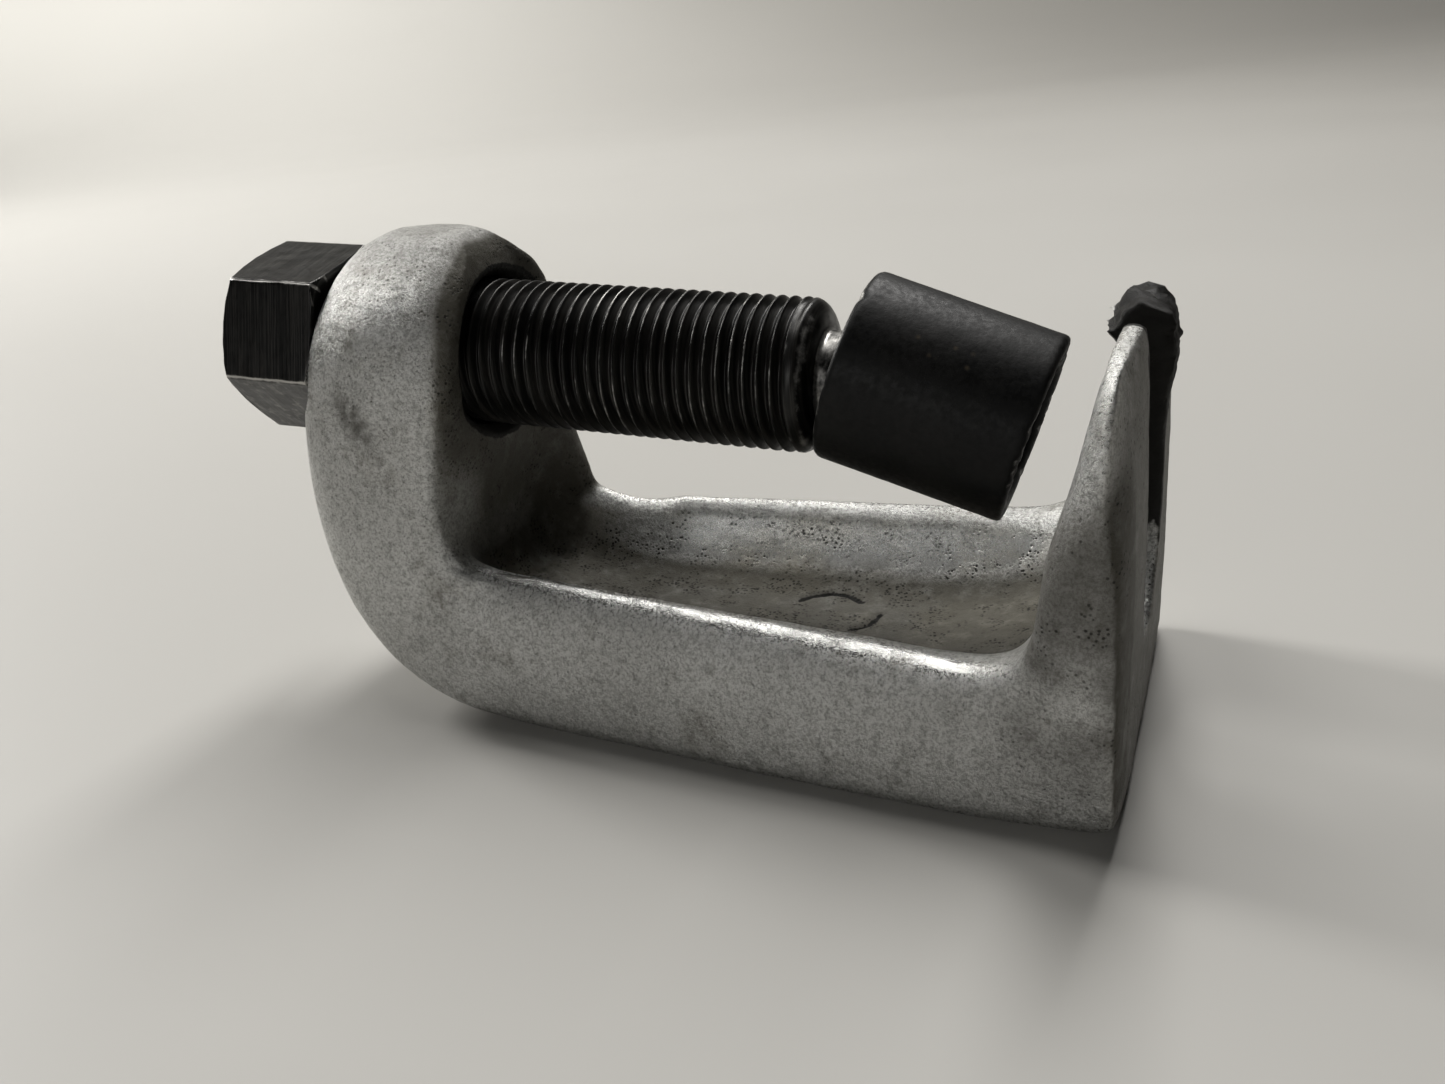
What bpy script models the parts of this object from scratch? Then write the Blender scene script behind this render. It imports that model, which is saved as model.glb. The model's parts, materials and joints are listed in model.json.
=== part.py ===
"""Ball joint separator: a forged C frame with a forked jaw, a forcing screw with a hexagon head,
a swivel cup that floats on the neck of the screw, and the ring that keeps the cup on.

Sizes are in millimetres. X runs along the screw from the head to the fork, Y runs across the frame
and Z points away from the back of the spine. X is zero on the inner wall of the boss and Z is zero
on the screw axis. At the end everything is turned so that the back of the spine lies level."""
import math

import bmesh
import bpy
from mathutils import Matrix, Vector

# clearances
running_gap = 0.31
head_gap = 0.6
jaw_gap = 1.55
seat_gap = 0.64
swing_room = 0.65
mouth_gap = 0.45
ring_room = 0.45

# forcing screw, nominally 5/8 inch with a 3/4 inch hexagon
screw_diameter = 15.875
hex_shoulder = 3.175
hex_length = 12.2
hex_turn = 18.4
neck_diameter = 9.5
neck_beyond_ring = 2.5
groove_depth = 0.7
shank_round = 1.0

# frame
boss_length = 18.3
boss_bulge = 3.4
boss_wall = 5.05
throat_length = 62.7
fork_base = 8.2
tip_thickness = 1.9
tip_setback = 2.4
tip_rise = 8.6
rim_drop_boss = 21.4
rim_drop_fork = 19.7
back_drop_boss = 38.95
back_drop_fork = 34.45
back_skim = 0.3
back_start = 10.0
half_width_boss = 15.0
half_width_fork = 24.4
rim_width_boss = 3.8
rim_width_fork = 6.6
trough_depth = 7.8
slot_width = 16.0
slot_drop = 23.0
corner_fillet = 6.5

# swivel cup and retaining ring
cup_length = 19.6
cup_wall = 2.45
cup_back_wall = 2.7
cup_droop = 15.5
ring_overhang = 2.1
ring_thickness = 1.0
ring_gap_angle = 50.0

MM = 0.001
screw_r = screw_diameter / 2.0
bore_r = screw_r + running_gap
boss_radius = bore_r + boss_wall
hex_across_flats = screw_diameter + hex_shoulder
neck_r = neck_diameter / 2.0
ring_r = neck_r + ring_overhang
cup_inner_r = ring_r + ring_room
cup_r = cup_inner_r + cup_wall
droop_sin = math.sin(math.radians(cup_droop))
droop_cos = math.cos(math.radians(cup_droop))

# the cup turns about the middle of the ring, far enough from its back wall to droop freely
pivot_in_cup = cup_back_wall + ring_r * droop_sin + ring_thickness / 2.0 * droop_cos + seat_gap

# the rounded end of the shank leaves this much room where the edge of the cup swings past it
edge_inside = max(screw_r - cup_r * droop_cos + pivot_in_cup * droop_sin, 0.0)
end_room = min(shank_round, max(1.9 * shank_round - 1.2 * edge_inside, 0.0))
neck_to_ring = pivot_in_cup * droop_cos + cup_r * droop_sin - end_room + swing_room
neck_length = neck_to_ring + neck_beyond_ring

# the screw is wound in until the drooping cup is one jaw gap short of the fork
cup_reach = neck_to_ring + (cup_length - pivot_in_cup) * droop_cos + cup_r * droop_sin
shank_reach = throat_length - jaw_gap - cup_reach
pivot_x = shank_reach + neck_to_ring
fork_in = throat_length
fork_out = throat_length + fork_base
lay_angle = math.atan2(back_drop_boss - back_drop_fork, fork_out - back_start)


def clear_scene():
    for item in list(bpy.data.objects):
        bpy.data.objects.remove(item, do_unlink=True)


def make_material(name, colour, metallic, roughness):
    material = bpy.data.materials.new(name)
    material.use_nodes = True
    shader = material.node_tree.nodes["Principled BSDF"]
    shader.inputs["Base Color"].default_value = (*colour, 1.0)
    shader.inputs["Metallic"].default_value = metallic
    shader.inputs["Roughness"].default_value = roughness
    return material


def mesh_object(name, bm, material=None):
    bmesh.ops.recalc_face_normals(bm, faces=bm.faces)
    mesh = bpy.data.meshes.new(name)
    bm.to_mesh(mesh)
    bm.free()
    item = bpy.data.objects.new(name, mesh)
    bpy.context.scene.collection.objects.link(item)
    if material is not None:
        mesh.materials.append(material)
    return item


def lathe(profile, segments):
    """Closed solid turned about the X axis from (x, radius) points; end points on the axis are poles."""
    bm = bmesh.new()
    rings = []
    for x, r in profile:
        if r < 1e-6:
            rings.append([bm.verts.new((x, 0.0, 0.0))])
            continue
        ring = []
        for i in range(segments):
            a = 2.0 * math.pi * i / segments
            ring.append(bm.verts.new((x, r * math.cos(a), r * math.sin(a))))
        rings.append(ring)
    closed = len(rings[0]) > 1 and len(rings[-1]) > 1
    pairs = list(zip(rings, rings[1:]))
    if closed:
        pairs.append((rings[-1], rings[0]))
    for first, second in pairs:
        for i in range(segments):
            j = (i + 1) % segments
            if len(first) == 1:
                bm.faces.new((first[0], second[j], second[i]))
            elif len(second) == 1:
                bm.faces.new((first[i], first[j], second[0]))
            else:
                bm.faces.new((first[i], first[j], second[j], second[i]))
    return bm


def prism(points, low, high, axis):
    """Straight prism over a closed outline; axis X takes (y, z) points and axis Y takes (x, z) points."""
    bm = bmesh.new()
    ends = []
    for level in (low, high):
        loop = []
        for u, v in points:
            place = (level, u, v) if axis == "X" else (u, level, v)
            loop.append(bm.verts.new(place))
        ends.append(loop)
    count = len(points)
    for i in range(count):
        j = (i + 1) % count
        bm.faces.new((ends[0][i], ends[0][j], ends[1][j], ends[1][i]))
    bm.faces.new(ends[0])
    bm.faces.new(list(reversed(ends[1])))
    return bm


def combine(target, cutter, operation):
    modifier = target.modifiers.new(operation.lower(), "BOOLEAN")
    modifier.operation = operation
    modifier.solver = "EXACT"
    modifier.object = cutter
    cutter.hide_render = True
    cutter.display_type = "WIRE"


def bake(item):
    """Replace an object's mesh by its evaluated mesh and drop the modifiers and their cutters."""
    depsgraph = bpy.context.evaluated_depsgraph_get()
    mesh = bpy.data.meshes.new_from_object(item.evaluated_get(depsgraph))
    cutters = [m.object for m in item.modifiers if m.type == "BOOLEAN"]
    item.modifiers.clear()
    old = item.data
    item.data = mesh
    mesh.name = old.name
    bpy.data.meshes.remove(old)
    for cutter in cutters:
        bpy.data.objects.remove(cutter, do_unlink=True)


def mix(a, b, t):
    return a + (b - a) * t


def rim_z(x):
    return -mix(rim_drop_boss, rim_drop_fork, x / throat_length)


def back_z(x):
    return -mix(back_drop_boss, back_drop_fork, (x - back_start) / (fork_out - back_start))


def side_y(x):
    return mix(half_width_boss, half_width_fork, max(x, 0.0) / fork_out)


def rim_y(x):
    return mix(rim_width_boss, rim_width_fork, min(max(x, 0.0) / fork_in, 1.0))


def frame_sections():
    """Sections along the C, from the top of the boss round the spine to the tips of the fork. Each has an
    inner point, an outer point, a half width, a trough depth and the radii of its inner and outer edges."""
    f = corner_fillet
    back = -boss_length - 0.5 * boss_bulge
    bulge = -boss_length - boss_bulge
    rows = []
    # boss: a round eye about the screw axis that flares into the spine
    crown = ((1.0, 4.6, 7.4), (0.9, 1.9, 3.8), (0.70, 0.6, 1.3), (0.38, 0.0, 0.2))
    for part, inset_in, inset_out in crown:
        z = boss_radius * part
        y = math.sqrt(max(boss_radius ** 2 - z ** 2, 0.0)) if part < 1.0 else 0.36 * boss_radius
        rows.append(((-inset_in, z), (back + inset_out, z), y, 0.0, 2.2, 4.0))
    rows.append(((0.0, 0.0), (mix(back, bulge, 0.5), 0.0), boss_radius + 0.3, 0.0, 1.5, 4.0))
    low = rim_z(0.0) + f
    drop = back_drop_boss
    rows.append(((0.0, mix(0.0, low, 0.6)), (bulge - 0.2, -0.27 * drop),
                 mix(boss_radius, half_width_boss, 0.6), 0.0, 1.5, 4.0))
    # bend from the boss into the spine
    rows.append(((0.0, low), (bulge + 1.0, -0.52 * drop), half_width_boss - 0.3, 0.6, 1.5, 3.6))
    rows.append(((0.12 * f, low - 0.55 * f), (bulge + 4.4, -0.76 * drop), half_width_boss, 2.8, 1.6, 3.2))
    rows.append(((0.42 * f, low - 0.92 * f), (bulge + 11.2, -0.93 * drop), side_y(1.0),
                 0.72 * trough_depth, 1.5, 2.6))
    rows.append(((1.05 * f, rim_z(1.05 * f)), (-1.5, back_z(-1.5) + 0.5), side_y(4.0),
                 trough_depth, 1.6, 1.8))
    # straight spine
    for part in (0.24, 0.46, 0.68):
        x = throat_length * part
        rows.append(((x, rim_z(x)), (x, back_z(x)), side_y(x), trough_depth, 1.6, 1.4))
    x = fork_in - 1.5 * f
    rows.append(((x, rim_z(x)), (x + 1.2, back_z(x)), side_y(x), trough_depth, 1.6, 1.3))
    # bend from the spine into the fork
    corner = back_z(fork_out)
    x = fork_in - 0.62 * f
    rows.append(((x, rim_z(x) + 0.2), (fork_out - 2.2, corner), side_y(x), 0.85 * trough_depth, 1.5, 1.2))
    rows.append(((fork_in - 0.12 * f, rim_z(fork_in) + 0.35 * f), (fork_out + 0.6, corner + 0.6),
                 side_y(fork_in), 2.4, 1.2, 1.2))
    foot = rim_z(fork_in) + 0.95 * f
    rows.append(((fork_in, foot), (fork_out + 0.2, corner + 4.5), half_width_fork - 0.4, 0.4, 1.2, 1.2))
    # tapering tines
    lean = fork_base - tip_setback - tip_thickness
    for rise, share in ((0.265, 0.08), (0.489, 0.46), (0.704, 0.69), (0.892, 0.87)):
        z = mix(foot, tip_rise, rise)
        s = (rise - 0.265) / 0.735
        outer = fork_out - mix(0.6, tip_setback - 0.2, s)
        width = half_width_fork - 0.4 * s - 3.4 * s ** 4
        rows.append(((fork_in + share * lean, z), (outer, z), width, 0.0, 1.1, 1.1))
    rows.append(((fork_in + lean, tip_rise), (fork_out - tip_setback, tip_rise),
                 half_width_fork - 5.4, 0.0, 0.5, 0.5))
    return rows


def frame_cage():
    """Cage of the forging: a ring of sixteen points for every section, closed at boss and tips."""
    bm = bmesh.new()
    crease = bm.edges.layers.float.new("crease_edge")
    loops = []
    for inner, outer, width, dip, edge_in, edge_out in frame_sections():
        a = Vector((inner[0], 0.0, inner[1]))
        n = Vector((outer[0] - inner[0], 0.0, outer[1] - inner[1]))
        depth = n.length
        n.normalize()
        edge_in = min(edge_in, 0.35 * depth)
        edge_out = min(edge_out, 0.4 * depth)
        land = width - min(rim_y(inner[0]), 0.4 * width)
        half = [(0.45 * land, dip), (0.76 * land, 0.96 * dip), (land, 0.0), (width - edge_in, -0.25 * edge_in),
                (width, edge_in), (width, depth - edge_out), (width - edge_out, depth)]
        points = [(0.0, dip * 1.03)] + half + [(0.0, depth)] + [(-y, d) for y, d in reversed(half)]
        loops.append([bm.verts.new(a + n * d + Vector((0.0, y, 0.0))) for y, d in points])
    count = len(loops[0])
    for first, second in zip(loops, loops[1:]):
        for i in range(count):
            j = (i + 1) % count
            bm.faces.new((first[i], first[j], second[j], second[i]))
    for loop in (loops[0], loops[-1]):
        bm.faces.new((loop[0], loop[1], loop[-1]))
        for i in range(1, 7):
            bm.faces.new((loop[i], loop[i + 1], loop[-i - 1], loop[-i]))
        bm.faces.new((loop[7], loop[8], loop[9]))
    for first, second in zip(loops[8:16], loops[9:17]):
        for i in (3, -3):
            edge = bm.edges.get((first[i], second[i]))
            edge[crease] = 0.45
    return bm


def build_frame(material):
    frame = mesh_object("c_frame", frame_cage(), material)
    smooth = frame.modifiers.new("smooth", "SUBSURF")
    smooth.levels = 2
    smooth.render_levels = 2
    spot_r = hex_across_flats * 0.64
    bore = mesh_object("bore_cut", lathe([
        (-boss_length - 9.0, 0.0), (-boss_length - 9.0, spot_r), (-boss_length, spot_r),
        (-boss_length, bore_r + 0.6), (-boss_length + 0.6, bore_r),
        (-0.7, bore_r), (0.2, bore_r + 0.7), (4.0, bore_r + 0.7), (4.0, 0.0)], 56))
    combine(frame, bore, "DIFFERENCE")
    half = slot_width / 2.0
    outline = [(half + 0.5, tip_rise + 9.0), (half, -slot_drop + half)]
    for i in range(1, 12):
        a = math.pi * i / 12.0
        outline.append((half * math.cos(a), -slot_drop + half - half * math.sin(a)))
    outline += [(-half, -slot_drop + half), (-half - 0.5, tip_rise + 9.0)]
    slot = mesh_object("slot_cut", prism(outline, fork_in - 7.0, fork_out + 6.0, "X"))
    combine(frame, slot, "DIFFERENCE")
    # the back is ground flat so that the tool lies still
    far = fork_out + 20.0
    deep = -2.0 * back_drop_boss
    ground = [(-far, back_z(-far) + back_skim), (far, back_z(far) + back_skim), (far, deep), (-far, deep)]
    skim = mesh_object("skim_cut", prism(ground, -2.0 * half_width_fork, 2.0 * half_width_fork, "Y"))
    combine(frame, skim, "DIFFERENCE")
    bake(frame)
    return frame


def build_screw(material):
    under = -boss_length - head_gap
    end = under - hex_length
    corner = hex_across_flats / math.sqrt(3.0)
    flat = hex_across_flats / 2.0
    drop = (corner - flat * 0.97) * math.tan(math.radians(30.0))
    outline = []
    for i in range(6):
        a = math.radians(hex_turn + 30.0 + 60.0 * i)
        outline.append((-corner * math.cos(a), corner * math.sin(a)))
    screw = mesh_object("forcing_screw", prism(outline, end, under, "X"), material)
    turned = mesh_object("head_turning", lathe([
        (end - 0.01, 0.0), (end - 0.01, flat * 0.97), (end + drop, corner), (end + drop, corner + 1.0),
        (under - 0.5 * drop, corner + 1.0), (under - 0.5 * drop, corner),
        (under + 0.01, corner - 0.5 * (corner - flat * 0.97)), (under + 0.01, 0.0)], 72))
    combine(screw, turned, "INTERSECT")
    tip = shank_reach + neck_length
    groove_in = pivot_x - ring_thickness / 2.0 - 0.15
    groove_out = pivot_x + ring_thickness / 2.0 + 0.15
    floor_r = neck_r - groove_depth
    shank = mesh_object("shank", lathe([
        (under - 2.0, 0.0), (under - 2.0, screw_r), (shank_reach - 1.9 * shank_round, screw_r),
        (shank_reach - 0.9 * shank_round, screw_r - 0.45 * shank_round),
        (shank_reach - 0.25 * shank_round, screw_r - 1.35 * shank_round),
        (shank_reach, screw_r - 2.3 * shank_round), (shank_reach, neck_r + 0.3),
        (shank_reach + 0.3, neck_r), (groove_in, neck_r), (groove_in, floor_r),
        (groove_out, floor_r), (groove_out, neck_r),
        (tip - 0.8, neck_r), (tip, neck_r - 0.8), (tip, 0.0)], 48))
    combine(screw, shank, "UNION")
    bake(screw)
    return screw


def build_cup(material):
    front_r = cup_r - 0.2
    back = -pivot_in_cup
    wall = back + cup_back_wall
    front = cup_length - pivot_in_cup
    lean = droop_sin / droop_cos
    mouth = neck_r / droop_cos - back * lean + mouth_gap
    throat = neck_r / droop_cos - wall * lean + mouth_gap - 0.1
    bm = lathe([
        (back, mouth), (back, cup_r - 0.55), (back + 0.16, cup_r - 0.16), (back + 0.55, cup_r),
        (front - 0.4, front_r), (front, front_r - 0.4), (front, cup_inner_r + 0.6),
        (front - 0.6, cup_inner_r), (wall + 0.5, cup_inner_r), (wall, cup_inner_r - 0.5),
        (wall, throat)], 56)
    return mesh_object("swivel_cup", bm, material)


def build_ring(material):
    """Snap ring in the groove of the neck: a flat band with a gap, open end downwards."""
    inner = neck_r - groove_depth + 0.3
    half = ring_thickness / 2.0
    bm = bmesh.new()
    steps = 30
    gap = math.radians(ring_gap_angle)
    loops = []
    for i in range(steps + 1):
        a = -math.pi / 2.0 + gap / 2.0 + (2.0 * math.pi - gap) * i / steps
        band = []
        for x, r in ((-half, inner), (-half, ring_r), (half, ring_r), (half, inner)):
            band.append(bm.verts.new((x, r * math.cos(a), r * math.sin(a))))
        loops.append(band)
    for first, second in zip(loops, loops[1:]):
        for i in range(4):
            j = (i + 1) % 4
            bm.faces.new((first[i], first[j], second[j], second[i]))
    bm.faces.new(loops[0])
    bm.faces.new(list(reversed(loops[-1])))
    return mesh_object("retaining_ring", bm, material)


def lay_down(placed):
    """Turn the tool about Y so that its back is level, stand it on the ground and change to metres."""
    turn = Matrix.Rotation(lay_angle, 4, "Y")
    spots = [turn @ vertex.co for vertex in placed[0][0].data.vertices]
    low = min(spot.z for spot in spots)
    middle = (min(spot.x for spot in spots) + max(spot.x for spot in spots)) / 2.0
    shift = Vector((-middle, 0.0, -low))
    for item, pivot, own in placed:
        item.data.transform(Matrix.Scale(MM, 4))
        spot = (turn @ Vector(pivot) + shift) * MM
        item.matrix_world = Matrix.Translation(spot) @ turn @ own.to_4x4()
        for polygon in item.data.polygons:
            polygon.use_smooth = True


def build():
    clear_scene()
    steel = make_material("forged_steel", (0.50, 0.50, 0.49), 0.6, 0.5)
    black = make_material("black_screw", (0.03, 0.03, 0.03), 0.7, 0.4)
    dark = make_material("black_cup", (0.02, 0.02, 0.02), 0.3, 0.6)
    spring = make_material("spring_steel", (0.12, 0.12, 0.13), 0.8, 0.4)
    frame = build_frame(steel)
    screw = build_screw(black)
    cup = build_cup(dark)
    ring = build_ring(spring)
    straight = Matrix.Identity(3)
    droop = Matrix.Rotation(math.radians(cup_droop), 3, "Y")
    lay_down([(frame, (0.0, 0.0, 0.0), straight), (screw, (0.0, 0.0, 0.0), straight),
              (cup, (pivot_x, 0.0, 0.0), droop), (ring, (pivot_x, 0.0, 0.0), straight)])
    bpy.context.view_layer.update()


build()
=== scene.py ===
"""Looks of the ball joint separator: the worn forging, the black threaded screw and the swivel cup.

Shapes are worked out in millimetres in the screw's own frame: X along the screw from head to fork, Y across
and Z away from the back of the spine, with X zero on the boss's inner wall. They are then laid in metres."""

import json
import math

import bmesh
import bpy
import numpy as np
from mathutils import Matrix, Vector, noise
from mathutils.bvhtree import BVHTree


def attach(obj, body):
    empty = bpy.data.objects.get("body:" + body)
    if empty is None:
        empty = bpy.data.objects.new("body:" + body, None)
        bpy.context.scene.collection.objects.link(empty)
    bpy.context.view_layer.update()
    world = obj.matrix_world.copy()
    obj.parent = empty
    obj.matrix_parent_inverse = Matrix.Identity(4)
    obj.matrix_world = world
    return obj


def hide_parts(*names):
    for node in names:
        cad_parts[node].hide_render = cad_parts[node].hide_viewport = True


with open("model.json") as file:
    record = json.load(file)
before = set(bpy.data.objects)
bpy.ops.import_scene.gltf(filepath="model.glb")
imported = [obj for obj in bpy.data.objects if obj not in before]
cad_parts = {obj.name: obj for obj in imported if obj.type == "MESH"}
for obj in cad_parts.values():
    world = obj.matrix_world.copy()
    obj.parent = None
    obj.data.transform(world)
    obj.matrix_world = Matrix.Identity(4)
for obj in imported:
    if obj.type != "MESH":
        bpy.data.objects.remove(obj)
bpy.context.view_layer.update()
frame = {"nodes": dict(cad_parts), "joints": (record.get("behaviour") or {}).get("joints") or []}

# sizes shared with the CAD part
running_gap = 0.31
head_gap = 0.6
jaw_gap = 1.55
seat_gap = 0.64
swing_room = 0.65
mouth_gap = 0.45
ring_room = 0.45
screw_diameter = 15.875
thread_pitch = 25.4 / 18.0
hex_shoulder = 3.175
hex_length = 12.2
hex_turn = 18.4
neck_diameter = 9.5
neck_beyond_ring = 2.5
groove_depth = 0.7
shank_round = 1.0
boss_length = 18.3
boss_bulge = 3.4
boss_wall = 5.05
throat_length = 62.7
fork_base = 8.2
tip_thickness = 1.9
tip_setback = 2.4
tip_rise = 8.6
rim_drop_boss = 21.4
rim_drop_fork = 19.7
back_drop_boss = 38.95
back_drop_fork = 34.45
back_skim = 0.3
back_start = 10.0
half_width_boss = 15.0
half_width_fork = 24.4
rim_width_boss = 3.8
rim_width_fork = 6.6
trough_depth = 7.8
slot_width = 16.0
slot_drop = 23.0
corner_fillet = 6.5
cup_length = 19.6
cup_wall = 2.45
cup_back_wall = 2.7
cup_droop = 15.5
ring_overhang = 2.1
ring_thickness = 1.0

# sizes of the looks alone
thread_phase = 0.563
thread_end = 36.3
thread_depth = 0.6134 * thread_pitch
hex_chamfer = 30.0
hex_corner_round = 0.10
groove_play = 0.15
skin_mesh = 0.42
edge_rounding = 2
corner_rounding = 110
near_tine_rise = 1.3
lap_path = ((32.6, 5.2), (33.4, 6.4), (35.8, 7.6), (37.8, 7.4), (39.4, 6.4))
low_lap_path = ((40.1, -0.2), (41.2, 0.6), (41.9, 1.7), (42.4, 4.1))
cup_nick_turn = 118.0

# the photograph's camera, fitted in the screw's frame
camera_place = (76.181, -124.518, 39.359)
camera_yaw = 22.229
camera_pitch = 23.772
camera_roll = -2.034
focal_pixels = 1328.7
photo_pixels = 1445.0
sensor_width = 36.0

# stage, in metres: a floor that bends up into a backdrop
floor_front = -1.6
bend_start = 0.8
bend_radius = 0.9
backdrop_top = 2.4
floor_half_width = 2.5
floor_turn = 22.0

screw_r = screw_diameter / 2.0
bore_r = screw_r + running_gap
boss_radius = bore_r + boss_wall
hex_across_flats = screw_diameter + hex_shoulder
neck_r = neck_diameter / 2.0
ring_r = neck_r + ring_overhang
cup_inner_r = ring_r + ring_room
cup_r = cup_inner_r + cup_wall
droop_sin = math.sin(math.radians(cup_droop))
droop_cos = math.cos(math.radians(cup_droop))
pivot_in_cup = cup_back_wall + ring_r * droop_sin + ring_thickness / 2.0 * droop_cos + seat_gap
neck_to_ring = pivot_in_cup * droop_cos + cup_r * droop_sin - shank_round + swing_room
neck_length = neck_to_ring + neck_beyond_ring
cup_reach = neck_to_ring + (cup_length - pivot_in_cup) * droop_cos + cup_r * droop_sin
shank_reach = throat_length - jaw_gap - cup_reach
pivot_x = shank_reach + neck_to_ring
fork_in = throat_length
fork_out = throat_length + fork_base

# where the screw's frame lies in the part
joint = {j["name"]: j for j in frame["joints"]}["screw_turn"]
lay_angle = math.atan2(-joint["axis"][2], joint["axis"][0])
LAY = np.array(Matrix.Rotation(lay_angle, 3, "Y"))
SHIFT = np.array(joint["pos_m"]) - LAY @ np.array((pivot_x, 0.0, 0.0)) * 0.001


def to_part(points):
    """Millimetres in the screw's frame to metres in the part's frame."""
    return np.asarray(points, float) @ LAY.T * 0.001 + SHIFT


def mix(a, b, t):
    """Value at share t of the way from a to b."""
    return a + (b - a) * t


def step(low, high, value):
    """Smooth step from 0 at low to 1 at high; low may be above high."""
    t = np.clip((np.asarray(value, float) - low) / (high - low), 0.0, 1.0)
    return t * t * (3.0 - 2.0 * t)


def noise_at(points, size, seed=0.0):
    """Smooth noise from about -1 to 1 with features of that size in millimetres."""
    moved = np.asarray(points, float) / size + seed
    return np.array([noise.noise(Vector(p)) for p in moved])


def cells_at(points, size, seed=0.0):
    """Distance to the nearest of scattered points, in cells."""
    moved = np.asarray(points, float) / size + seed
    return np.array([noise.voronoi(Vector(p))[0][0] for p in moved])


def mesh_object(name, vertices, faces, material):
    """Smooth shaded object in the scene, from points and faces."""
    mesh = bpy.data.meshes.new(name)
    mesh.from_pydata([tuple(v) for v in vertices], [], faces)
    mesh.validate()
    mesh.polygons.foreach_set("use_smooth", np.ones(len(mesh.polygons), bool))
    item = bpy.data.objects.new(name, mesh)
    bpy.context.scene.collection.objects.link(item)
    mesh.materials.append(material)
    return item


def paint(item, name, values):
    """Values from 0 to 1 on the points, for a material to read by name."""
    layer = item.data.attributes.new(name, "FLOAT", "POINT")
    layer.data.foreach_set("value", np.clip(values, 0.0, 1.0).astype(np.float32))


def grid_faces(rows, columns):
    """Quads over rows of points that close on themselves."""
    r, c = np.meshgrid(np.arange(rows - 1), np.arange(columns), indexing="ij")
    d = (c + 1) % columns
    quads = np.stack([r * columns + c, (r + 1) * columns + c, (r + 1) * columns + d, r * columns + d], -1)
    return quads.reshape(-1, 4).tolist()


# materials


class Nodes:
    """A short hand for node trees: values may be numbers, colours or sockets."""

    def __init__(self, material):
        self.tree = material.node_tree
        self.tree.nodes.clear()
        out = self.tree.nodes.new("ShaderNodeOutputMaterial")
        self.shader = self.tree.nodes.new("ShaderNodeBsdfPrincipled")
        self.tree.links.new(self.shader.outputs[0], out.inputs[0])
        self.place = self.tree.nodes.new("ShaderNodeTexCoord").outputs["Object"]

    def put(self, socket, value):
        """Link a socket to a socket, or set it to a number or colour."""
        if isinstance(value, bpy.types.NodeSocket):
            self.tree.links.new(value, socket)
        elif isinstance(value, tuple) and len(value) == 3 and socket.type == "RGBA":
            socket.default_value = (*value, 1.0)
        else:
            socket.default_value = value

    def set(self, name, value):
        """Give one of the shader's inputs a value."""
        self.put(self.shader.inputs[name], value)

    def attribute(self, name):
        """Values that paint() left on the points."""
        node = self.tree.nodes.new("ShaderNodeAttribute")
        node.attribute_name = name
        return node.outputs["Fac"]

    def noise(self, scale, detail=2.0, rough=0.5, place=None):
        node = self.tree.nodes.new("ShaderNodeTexNoise")
        self.put(node.inputs["Vector"], place or self.place)
        self.put(node.inputs["Scale"], scale)
        self.put(node.inputs["Detail"], detail)
        self.put(node.inputs["Roughness"], rough)
        return node.outputs["Fac"]

    def cells(self, scale):
        """Distance to the nearest of scattered points."""
        node = self.tree.nodes.new("ShaderNodeTexVoronoi")
        self.put(node.inputs["Vector"], self.place)
        self.put(node.inputs["Scale"], scale)
        return node.outputs["Distance"]

    def stretch(self, factors):
        """Place multiplied along each axis, for stretched noise."""
        node = self.tree.nodes.new("ShaderNodeVectorMath")
        node.operation = "MULTIPLY"
        self.put(node.inputs[0], self.place)
        node.inputs[1].default_value = factors
        return node.outputs[0]

    def ramp(self, value, low, high, to_low=0.0, to_high=1.0):
        """Smooth step of a value from low to high, given as to_low to to_high."""
        node = self.tree.nodes.new("ShaderNodeMapRange")
        node.interpolation_type = "SMOOTHSTEP"
        self.put(node.inputs["Value"], value)
        self.put(node.inputs["From Min"], low)
        self.put(node.inputs["From Max"], high)
        self.put(node.inputs["To Min"], to_low)
        self.put(node.inputs["To Max"], to_high)
        return node.outputs["Result"]

    def math(self, operation, a, b):
        node = self.tree.nodes.new("ShaderNodeMath")
        node.operation = operation
        self.put(node.inputs[0], a)
        self.put(node.inputs[1], b)
        return node.outputs[0]

    def plus(self, a, b):
        return self.math("ADD", a, b)

    def minus(self, a, b):
        return self.math("SUBTRACT", a, b)

    def times(self, a, b):
        return self.math("MULTIPLY", a, b)

    def most(self, a, b):
        return self.math("MAXIMUM", a, b)

    def ragged(self, mask, pattern, amount):
        """The mask, with the pattern added so that its border turns ragged."""
        return self.plus(mask, self.times(self.minus(pattern, 0.5), amount))

    def blend(self, factor, a, b):
        """Colour at that factor of the way from a to b."""
        node = self.tree.nodes.new("ShaderNodeMix")
        node.data_type = "RGBA"
        self.put(node.inputs[0], factor)
        self.put(node.inputs[6], a)
        self.put(node.inputs[7], b)
        return node.outputs[2]

    def bump(self, height, distance, strength):
        node = self.tree.nodes.new("ShaderNodeBump")
        self.put(node.inputs["Height"], height)
        node.inputs["Distance"].default_value = distance
        self.put(node.inputs["Strength"], strength)
        return node.outputs[0]


def new_material(name):
    """Empty material and the short hand for its nodes."""
    material = bpy.data.materials.new(name)
    material.use_nodes = True
    return material, Nodes(material)


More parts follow.
